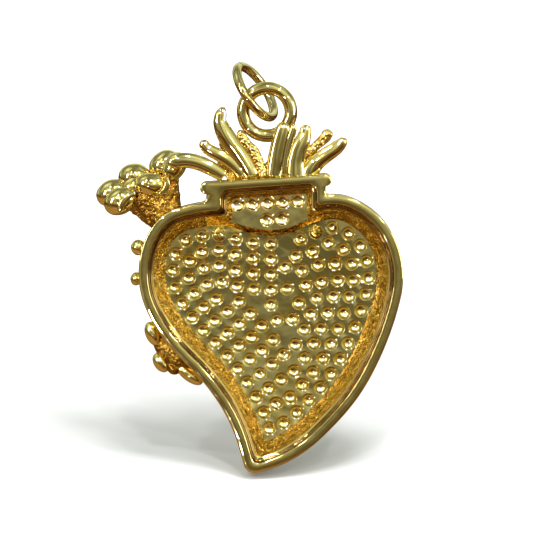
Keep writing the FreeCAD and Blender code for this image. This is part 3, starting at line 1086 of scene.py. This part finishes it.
@dataclass(frozen=True)
class Flame:
    """One tongue of fire: its spine from root to tip as x, z and width, and its finish.

    Its section is fuller towards the domed front, and it closes to a blunt tip.
    """

    name: str
    spine: tuple
    finish: Gilt = Gilt.POLISHED
    ridge: float = 0.0
    blunt: float = 0.5
    closing: float = 4.0
    push: float = 0.0
    rings: int = 40
    sides: int = 24
    middle: float = -0.5
    squareness: float = 0.85
    front_depth: float = 0.42
    back_depth: float = 0.30
    tip_width: float = 0.004
    tip_reach: float = 0.3

    def piece(self) -> bpy.types.Object:
        """The flame's skin, closed at its root and its tip."""
        spine = smooth_line([Vector((x, width, z)) for x, z, width in self.spine], self.rings)
        line = [flat(point.x, point.z) for point in spine]
        last = len(line) - 1
        rings = []
        for index, point in enumerate(line):
            way = (line[min(index + 1, last)] - line[max(index - 1, 0)]).normalized()
            close = min(1.0, max(1 - index / last, 0.0) * last / self.closing)
            width = spine[index].y * max(1 - (1 - close) ** 2, self.tip_width) ** self.blunt
            rings.append(self._section(point, left_of(way), width))
        tip = line[-1] + (line[-1] - line[-2]) * self.tip_reach
        end = Vector((tip.x, rings[-1][0].y, tip.y))
        return Skin(self.name, rings).close_both(middle_of(rings[0]), end).finish()

    def _section(self, point: Vector, across: Vector, width: float) -> Ring:
        """One section: gently round at the back, full towards the front."""
        ring = []
        for turn in angles(self.sides):
            reach, rise = math.cos(turn), math.sin(turn)
            side = math.copysign(abs(reach) ** self.squareness, reach) * width / 2
            if rise > 0:
                depth = rise * width * self.front_depth
            else:
                roof = (1 - abs(reach)) * self.ridge
                depth = (rise * self.back_depth * (1 - self.ridge) - roof * self.back_depth) * width
            place = point + across * side
            ring.append(Vector((place.x, self.middle + self.push + depth, place.y)))
        return ring


FLAMES = (
    Flame("bridge_flame", ((-4.08, -6.08, 1.20), (-5.42, -5.27, 1.40), (-6.65, -4.75, 1.45),
                           (-7.89, -4.56, 1.45), (-8.70, -4.75, 1.40), (-9.00, -5.40, 1.20))),
    Flame("curled_flame", ((-2.40, -6.10, 1.00), (-2.66, -5.60, 1.10), (-3.50, -4.75, 1.20),
                           (-4.50, -4.10, 1.25), (-5.60, -3.50, 1.10), (-6.22, -2.66, 0.90)),
          ridge=0.2),
    Flame("short_flame", ((-2.40, -6.10, 0.80), (-2.76, -5.30, 0.80), (-3.64, -3.98, 0.75),
                          (-4.45, -2.81, 0.55)), Gilt.AMBER, push=0.12),
    Flame("tall_flame", ((-1.50, -6.10, 1.60), (-1.65, -5.72, 1.60), (-2.20, -4.75, 1.68),
                         (-2.82, -3.80, 1.74), (-3.52, -2.82, 1.74), (-4.10, -1.85, 1.62),
                         (-4.45, -0.88, 1.28), (-4.32, -0.10, 1.05), (-4.00, 0.44, 0.50)),
          ridge=0.45, closing=2.0),
    Flame("left_loop_flame", ((-0.35, -6.10, 0.95), (-0.64, -5.20, 1.00), (-1.24, -3.80, 1.05),
                              (-2.00, -2.95, 0.95), (-2.66, -1.70, 0.80)),
          Gilt.SPARKLY, push=0.05),
    Flame("middle_flame", ((0.66, -6.10, 1.55), (0.74, -5.40, 1.60), (0.88, -4.50, 1.66),
                           (1.11, -3.30, 1.62), (1.42, -2.04, 1.48), (1.76, -0.95, 1.15)),
          ridge=0.15),
    Flame("right_loop_flame", ((1.55, -6.00, 0.70), (1.66, -5.30, 0.75), (1.98, -3.30, 0.75),
                               (2.37, -2.04, 0.72), (2.62, -1.10, 0.60)), push=-0.06),
    Flame("plain_flame", ((2.72, -6.10, 2.00), (2.70, -5.50, 1.92), (2.72, -4.75, 1.80),
                          (2.95, -3.78, 1.72), (3.33, -2.82, 1.55), (3.62, -1.84, 1.15),
                          (3.52, -1.20, 0.95)), ridge=0.1, closing=3.0),
    Flame("thin_flame", ((3.20, -5.60, 0.70), (3.60, -4.30, 0.78), (4.30, -3.50, 0.85),
                         (5.00, -2.90, 0.92), (5.60, -2.30, 1.08), (5.80, -1.62, 1.08)),
          Gilt.SPARKLY, push=0.12),
    Flame("end_flame", ((3.90, -6.10, 1.60), (4.10, -5.60, 1.70), (4.65, -4.80, 1.62),
                        (5.57, -4.08, 1.48), (6.44, -3.50, 1.36), (7.00, -2.90, 1.18),
                        (6.95, -2.40, 1.08)), ridge=0.35, closing=3.0),
    Flame("petal_curl", ((-12.50, -7.66, 0.45), (-13.20, -8.02, 0.66), (-13.75, -8.75, 0.70),
                         (-13.98, -9.55, 0.42)), push=-0.22),
    Flame("petal_curl_right", ((-9.55, -6.20, 0.40), (-9.45, -6.80, 0.55), (-9.70, -7.40, 0.55),
                               (-10.25, -7.80, 0.35)), push=-0.12),
)


@dataclass
class Fire:
    """The flames that stand on the collar and the rough web between them.

    The web's corners are shares of the collar's half width and of its height below the loop.
    """

    clothes: Wardrobe
    collar: CollarOutline
    web: tuple = ((-0.60, 0.00), (0.75, 0.00), (0.88, 0.16), (0.95, 0.33), (0.85, 0.47),
                  (0.68, 0.47), (0.53, 0.57), (0.34, 0.47), (0.11, 0.33), (-0.03, 0.30),
                  (-0.23, 0.47), (-0.43, 0.72), (-0.73, 0.47), (-0.85, 0.26))
    web_cells: tuple[int, int] = (110, 56)
    web_size: tuple[float, float] = (13.0, 6.4)
    web_middle: float = -4.4
    web_back: float = -0.22
    web_thickness: float = 0.45
    web_grain: Grain = Grain(0.10, 0.36)
    flame_grain: Grain = Grain(0.035, 0.30)

    def build(self) -> None:
        """All the flames and the web."""
        for flame in FLAMES:
            piece = flame.piece()
            if flame.finish is Gilt.SPARKLY:
                self.flame_grain.on(piece, seed=5.0)
            self.clothes.dress(piece, flame.finish)
        self._web()

    def _web(self) -> None:
        """A rough plate behind the flames."""
        corners = [self.collar.place(x, z) for x, z in self.web]
        columns, rows = self.web_cells
        width, height = self.web_size
        select_none()
        bpy.ops.mesh.primitive_grid_add(x_subdivisions=columns, y_subdivisions=rows, size=MM)
        piece = added("flame_web")
        bpy.ops.object.mode_set(mode="EDIT")
        mesh = bmesh.from_edit_mesh(piece.data)
        for vertex in mesh.verts:
            place = flat(vertex.co.x / MM * width, vertex.co.y / MM * height + self.web_middle)
            vertex.select_set(not inside(place, corners))
            vertex.co = Vector((place.x, self.web_back, place.y)) * MM
        mesh.select_flush_mode()
        bmesh.update_edit_mesh(piece.data)
        bpy.ops.mesh.delete(type="VERT")
        bpy.ops.mesh.select_all(action="SELECT")
        move = {"value": (0, self.web_thickness * MM, 0)}
        bpy.ops.mesh.extrude_region_move(TRANSFORM_OT_translate=move)
        finished(piece)
        self.web_grain.on(piece, seed=11.0)
        self.clothes.dress(piece, Gilt.GRAINED)


@dataclass(frozen=True)
class Lump:
    """A small rounded form: middle, radii across, in depth and along, and its lean."""

    name: str
    place: tuple[float, float, float]
    radii: tuple[float, float, float]
    lean: float = 0.0
    finish: Gilt = Gilt.POLISHED
    segments: int = 36
    rings: int = 22
    wave: Grain = Grain(0.05, 1.5)

    def build(self, clothes: Wardrobe) -> None:
        """Adds the piece, gently waved, and dresses it."""
        select_none()
        bpy.ops.mesh.primitive_uv_sphere_add(segments=self.segments, ring_count=self.rings,
                                             radius=MM)
        piece = added(self.name)
        piece.data.transform(Matrix.Translation(Vector(self.place) * MM)
                             @ Matrix.Rotation(math.radians(-self.lean), 4, "Y")
                             @ Matrix.Diagonal((*self.radii, 1.0)))
        bpy.ops.object.shade_smooth()
        self.wave.on(piece, seed=sum(self.place))
        clothes.dress(piece, self.finish)


LUMPS = (
    Lump("petal_front_left", (-13.95, 0.45, -8.50), (1.62, 1.15, 1.28), lean=32.0),
    Lump("petal_middle", (-10.90, 0.40, -6.95), (1.66, 1.12, 1.16), lean=-6.0),
    Lump("petal_right", (-8.80, 0.60, -5.25), (1.08, 1.20, 1.52), lean=-28.0),
    Lump("petal_far_left", (-14.75, 2.00, -7.75), (1.62, 1.20, 1.22), lean=28.0),
    Lump("petal_top_left", (-12.60, 2.20, -6.30), (1.58, 1.30, 1.36)),
    Lump("petal_top_right", (-9.80, 2.20, -5.10), (1.60, 1.20, 1.28), lean=42.0),
    Lump("petal_behind", (-11.67, 3.40, -7.30), (1.30, 1.20, 1.25)),
    Lump("blossom_heart", (-12.30, 1.60, -7.30), (1.70, 1.10, 1.30)),
    Lump("bead_upper", (-12.20, 0.10, -12.87), (0.74, 0.76, 0.76)),
    Lump("bead_lower", (-12.45, 0.10, -15.86), (0.55, 0.62, 0.64)),
    Lump("bud_upper", (-10.82, 0.10, -21.10), (0.74, 0.78, 1.20), lean=22.0),
    Lump("bud_left", (-10.12, 0.00, -23.85), (0.66, 0.68, 1.02), lean=32.0),
    Lump("bud_middle", (-8.85, 0.10, -24.28), (0.70, 0.66, 0.76), lean=45.0, finish=Gilt.AMBER),
    Lump("bud_lower", (-7.35, 0.00, -25.02), (0.64, 0.68, 1.45), lean=56.0),
    Lump("bud_bed", (-8.95, 0.30, -23.05), (1.08, 1.00, 2.35), lean=48.0, finish=Gilt.AMBER),
)


@dataclass
class Blossom:
    """The blossom and its rough cone, and the beads and buds beside the rim."""

    clothes: Wardrobe
    root: Vector = field(default_factory=lambda: Vector((-9.60, 0.70, -10.30)))
    mouth: Vector = field(default_factory=lambda: Vector((-10.95, 1.20, -7.75)))
    radii: tuple[float, float] = (1.55, 2.85)
    flare: float = 0.85
    depth: float = 0.5
    caps: tuple[float, float] = (0.2, 0.5)
    steps: int = 21
    sides: int = 72
    grain: Grain = Grain(0.12, 0.45)

    def build(self) -> None:
        """The rough cone, then the petals, beads and buds."""
        self._cone()
        for lump in LUMPS:
            lump.build(self.clothes)

    def _cone(self) -> None:
        """The rough cone that carries the petals."""
        axis = (self.mouth - self.root).normalized()
        other = TO_FRONT.cross(axis).normalized()
        across = other.cross(axis)
        rings = []
        for share in shares(self.steps):
            radius = between(*self.radii, share ** self.flare)
            middle = self.root.lerp(self.mouth, share)
            rings.append([middle + (across * math.cos(turn) * self.depth
                                    + other * math.sin(turn)) * radius
                          for turn in angles(self.sides)])
        start, end = self.root - axis * self.caps[0], self.mouth + axis * self.caps[1]
        piece = Skin("calyx", rings).close_both(start, end).finish()
        self.grain.on(piece, seed=2.0)
        self.clothes.dress(piece, Gilt.AMBER)


def upright(angle: float) -> Vector:
    """The unit vector at an angle in degrees from +X towards +Z, in three dimensions."""
    turn = math.radians(angle)
    return Vector((math.cos(turn), 0, math.sin(turn)))


def quarter_on(way: Vector) -> Vector:
    """A vector of the XZ plane turned a quarter from +X towards +Z."""
    return Vector((-way.z, 0, way.x))


@dataclass
class Rings:
    """The hanging loop cast with the heart, and the loose jump ring."""

    clothes: Wardrobe
    loop_radius: float = 2.2
    loop_wire: float = 0.55
    loop_flesh: float = 0.06
    loop_steps: int = 96
    loop_wave: Grain = Grain(0.02, 1.2)
    radius: float = 2.8
    wire: float = 0.45
    wire_sides: int = 28
    steps: int = 120
    gap: float = 0.12
    slack: float = 0.08
    lean: float = 56.1
    turn: float = 18.7
    held: float = 135.0
    crease: float = 50.0

    def loop(self) -> None:
        """The polished round loop."""
        select_none()
        bpy.ops.mesh.primitive_torus_add(major_segments=self.loop_steps,
                                         minor_segments=self.wire_sides,
                                         major_radius=(self.loop_radius + self.loop_flesh) * MM,
                                         minor_radius=(self.loop_wire + self.loop_flesh) * MM)
        piece = added("hanging_loop")
        piece.data.transform(Matrix.Rotation(math.radians(90), 4, "X"))
        bpy.ops.object.shade_smooth()
        self.loop_wave.on(piece, seed=4.0)
        self.clothes.dress(piece, Gilt.POLISHED)

    def jump_ring(self) -> None:
        """The wire ring, hooked through the loop, with a hairline gap between its cut ends."""
        lean = upright(-self.lean)
        tilt = math.radians(self.turn)
        back = TO_BACK * math.cos(tilt) - quarter_on(lean) * math.sin(tilt)
        outward = upright(self.held)
        seat = (self.wire + self.loop_wire + self.slack) / back.cross(quarter_on(outward)).length
        middle = outward * self.loop_radius - back * (self.radius - seat)
        axis = lean.cross(back)
        opening = self.gap / self.radius / 2
        rings = []
        for step in range(self.steps + 1):
            turn = opening + (2 * math.pi - 2 * opening) * step / self.steps
            spoke = -lean * math.cos(turn) + back * math.sin(turn)
            rings.append([middle + spoke * (self.radius + self.wire * math.cos(side))
                          + axis * (self.wire * math.sin(side))
                          for side in angles(self.wire_sides)])
        ends = (middle_of(rings[0]), middle_of(rings[-1]))
        piece = Skin("jump_ring_wire", rings).close_both(*ends).finish()
        select_only(piece)
        bpy.ops.object.shade_smooth_by_angle(angle=math.radians(self.crease))
        self.clothes.dress(piece, Gilt.WIRE, "jump_ring", "ring")


# The photograph's light


@dataclass(frozen=True)
class Lamp:
    """An area lamp aimed at the pendant."""

    name: str
    place: tuple[float, float, float]
    size: tuple[float, float]
    power: float
    mirrored: bool = True

    def build(self, aim: Vector) -> None:
        """Adds the lamp; one that isn't mirrored lights the ground but makes no highlight."""
        data = bpy.data.lights.new(self.name, "AREA")
        data.shape = "RECTANGLE"
        data.size, data.size_y = (side * MM for side in self.size)
        data.energy = self.power
        lamp = bpy.data.objects.new(self.name, data)
        lamp.location = Vector(self.place) * MM
        lamp.visible_glossy = self.mirrored
        lamp.rotation_euler = (aim * MM - lamp.location).to_track_quat("-Z", "Y").to_euler()
        bpy.context.scene.collection.objects.link(lamp)


LAMPS = (
    Lamp("key", (60.0, -150.0, 250.0), (90.0, 90.0), 1.15, mirrored=False),
    Lamp("window", (-230.0, -190.0, 60.0), (40.0, 130.0), 0.22),
    Lamp("side", (250.0, -120.0, 30.0), (40.0, 130.0), 0.18),
    Lamp("spot_one", (-160.0, -280.0, 150.0), (11.0, 11.0), 0.19),
    Lamp("spot_two", (-60.0, -310.0, 100.0), (11.0, 11.0), 0.19),
    Lamp("spot_three", (70.0, -300.0, 125.0), (11.0, 11.0), 0.19),
    Lamp("spot_four", (175.0, -265.0, 100.0), (11.0, 11.0), 0.19),
    Lamp("spot_five", (10.0, -250.0, 225.0), (14.0, 14.0), 0.30),
    Lamp("spot_six", (-130.0, -220.0, 240.0), (12.0, 12.0), 0.22),
    Lamp("spot_seven", (140.0, -210.0, 235.0), (12.0, 12.0), 0.22),
    Lamp("spot_low", (-90.0, -320.0, -90.0), (10.0, 10.0), 0.08),
)


@dataclass
class Studio:
    """The white sweep, the soft lamps and the camera of the photograph.

    The metal sees a brown mottled ground and a dim warm room, where the camera sees white.
    """

    centre: Vector = field(default_factory=lambda: Vector((-0.05, 0.0, -14.68)))
    floor_level: float = -34.6
    floor_size: float = 2.0
    slope: float = 14.0
    ground: tuple = (0.46, 0.46, 0.47, 1)
    ground_roughness: float = 0.9
    ground_seen_by_metal: tuple = ((0.42, (0.03, 0.013, 0.004)), (0.58, (0.17, 0.11, 0.05)))
    ground_mottle: float = 14.0
    ground_lift: tuple[float, float] = (0.08, 0.7)
    fade: tuple[float, float] = (14.0, 80.0)
    fade_squeeze: tuple = (0.35, 1.0, 0.0)
    fade_shift: float = 10.0
    room_by_height: tuple = ((0.0, (0.10, 0.06, 0.03)), (0.42, (0.32, 0.31, 0.23)),
                             (0.52, (0.44, 0.47, 0.38)), (0.75, (0.48, 0.55, 0.47)),
                             (1.0, (0.55, 0.65, 0.58)))
    room_patches: tuple = ((0.36, (0.40, 0.38, 0.32)), (0.48, (0.85, 0.83, 0.76)),
                           (0.63, (1.8, 1.8, 1.7)))
    room_scale: float = 1.6
    room_detail: float = 1.5
    white: tuple = (1, 1, 1, 1)
    width: float = 50.6
    distance: float = 400.0
    elevation: float = 4.0
    sensor: float = 36.0
    clip: tuple[float, float] = (0.01, 10.0)

    def build(self) -> None:
        """Adds the sweep, the lamps, the world and the camera."""
        bpy.context.scene.view_settings.view_transform = "Standard"
        self._sweep()
        for lamp in LAMPS:
            lamp.build(self.centre)
        self._world()
        self._camera()

    def _sweep(self) -> None:
        """A pale ground that falls towards the camera and catches the soft shadow."""
        select_none()
        bpy.ops.mesh.primitive_plane_add(size=self.floor_size)
        floor = added("sweep")
        tip = Vector((0, 0, self.floor_level * MM))
        floor.data.transform(Matrix.Translation(tip)
                             @ Matrix.Rotation(math.radians(self.slope), 4, "X"))
        floor.data.materials.append(self._ground())

    def _ground(self) -> bpy.types.Material:
        """The ground's material: it glows more the farther it is from the pendant."""
        made = bpy.data.materials.new("white_sweep")
        wires = Wiring(made)
        seen = wires.add("ShaderNodeLightPath", "Is Camera Ray")
        place = wires.add("ShaderNodeTexCoord", "Object")
        brown = wires.ramp(wires.cloud(place, self.ground_mottle), self.ground_seen_by_metal)
        tone = wires.add("ShaderNodeMix", "Result",
                         {"Factor": seen, "A": brown, "B": self.ground}, data_type="RGBA")
        near = wires.add("ShaderNodeVectorMath", "Vector",
                         {0: place, 1: self.fade_squeeze, 2: (0.0, self.fade_shift * MM, 0.0)},
                         operation="MULTIPLY_ADD")
        away = wires.add("ShaderNodeVectorMath", "Value", {0: near}, operation="LENGTH")
        lift = wires.spread(away, tuple(edge * MM for edge in self.fade), self.ground_lift)
        glow = wires.add("ShaderNodeMath", "Value", {0: seen, 1: lift}, operation="MULTIPLY")
        shader = wires.nodes["Principled BSDF"]
        wires.join(shader, {"Base Color": tone, "Roughness": self.ground_roughness,
                            "Specular IOR Level": 0.0, "Emission Color": self.white,
                            "Emission Strength": glow})
        self._one_sided(wires, shader.outputs["BSDF"])
        return made

    @staticmethod
    def _one_sided(wires: Wiring, front: Socket) -> None:
        """Lets the ground be seen from above only, so it hides the pendant from no side."""
        under = wires.add("ShaderNodeNewGeometry", "Backfacing")
        clear = wires.add("ShaderNodeBsdfTransparent", "BSDF")
        mixed = wires.add("ShaderNodeMixShader", "Shader", {"Fac": under, 1: front, 2: clear})
        wires.join(wires.nodes["Material Output"], {"Surface": mixed})

    def _world(self) -> None:
        """White for the camera; for the metal a dim warm room with soft bright windows."""
        world = bpy.data.worlds.new("room")
        bpy.context.scene.world = world
        wires = Wiring(world)
        wires.nodes.clear()
        place = wires.add("ShaderNodeTexCoord", "Generated")
        height = wires.add("ShaderNodeSeparateXYZ", "Z", {"Vector": place})
        tall = wires.ramp(wires.spread(height, (-1.0, 1.0)), self.room_by_height)
        cloud = wires.cloud(place, self.room_scale, self.room_detail)
        tint = wires.add("ShaderNodeMix", "Result",
                         {"Factor": 1.0, "A": tall, "B": wires.ramp(cloud, self.room_patches)},
                         data_type="RGBA", blend_type="MULTIPLY")
        room = wires.add("ShaderNodeBackground", "Background", {"Color": tint})
        white = wires.add("ShaderNodeBackground", "Background", {"Color": self.white})
        seen = wires.add("ShaderNodeLightPath", "Is Camera Ray")
        mixed = wires.add("ShaderNodeMixShader", "Shader", {"Fac": seen, 1: room, 2: white})
        wires.join(wires.nodes.new("ShaderNodeOutputWorld"), {"Surface": mixed})

    def _camera(self) -> None:
        """A long lens that looks at the open back from a little above."""
        data = bpy.data.cameras.new("camera")
        data.lens = self.sensor * self.distance / self.width
        data.clip_start, data.clip_end = self.clip
        camera = bpy.data.objects.new("camera", data)
        rise = math.radians(self.elevation)
        back = Vector((0, -math.cos(rise), math.sin(rise)))
        camera.location = (self.centre + back * self.distance) * MM
        camera.rotation_euler = (-back).to_track_quat("-Z", "Y").to_euler()
        bpy.context.scene.collection.objects.link(camera)
        bpy.context.scene.camera = camera


def main() -> None:
    """Builds the pendant, its light and its camera."""
    logging.basicConfig(level=logging.INFO, format="%(message)s")
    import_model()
    clothes = Wardrobe()
    back = OpenBack(clothes, HeartOutline(), CollarOutline())
    back.rim()
    back.walls()
    floors = Floors(clothes, back)
    floors.heart_floor()
    floors.pocket_floor()
    front = Front(clothes, back)
    front.dome()
    front.collar()
    Fire(clothes, back.collar).build()
    Blossom(clothes).build()
    rings = Rings(clothes)
    rings.loop()
    rings.jump_ring()
    Studio().build()


if __name__ == "__main__":
    main()
